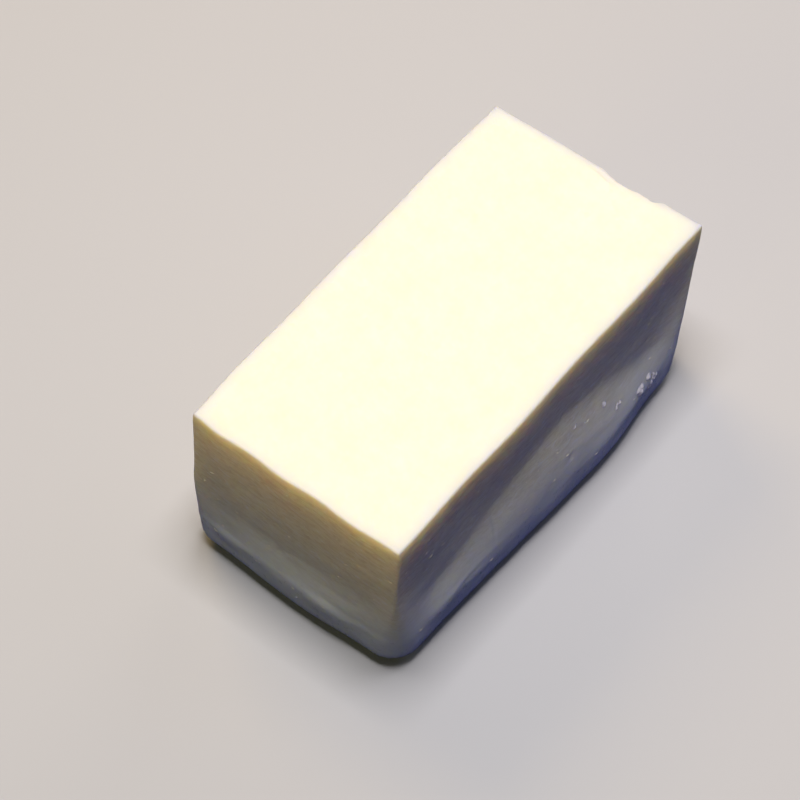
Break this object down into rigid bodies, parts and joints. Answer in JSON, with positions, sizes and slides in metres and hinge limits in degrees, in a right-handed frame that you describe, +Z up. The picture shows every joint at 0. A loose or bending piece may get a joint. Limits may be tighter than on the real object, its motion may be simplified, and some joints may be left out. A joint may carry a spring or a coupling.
{
  "type": "tofu block",
  "caption": "Rectangular block of silken tofu, turned out of its tub: crisp upper rim with one small chip, soft rounded foot, flat base to rest on.",
  "frame": {"origin": "on the ground, under the middle of the block", "axes": "+Z up, +X along the long side"},
  "size_m": [0.1188, 0.0664, 0.0528],
  "materials": {
    "tofu": "moist silken bean curd, cream white, satin, slightly translucent"
  },
  "bodies": {
    "root": {"tofu_block": "tofu"}
  },
  "joints": []
}
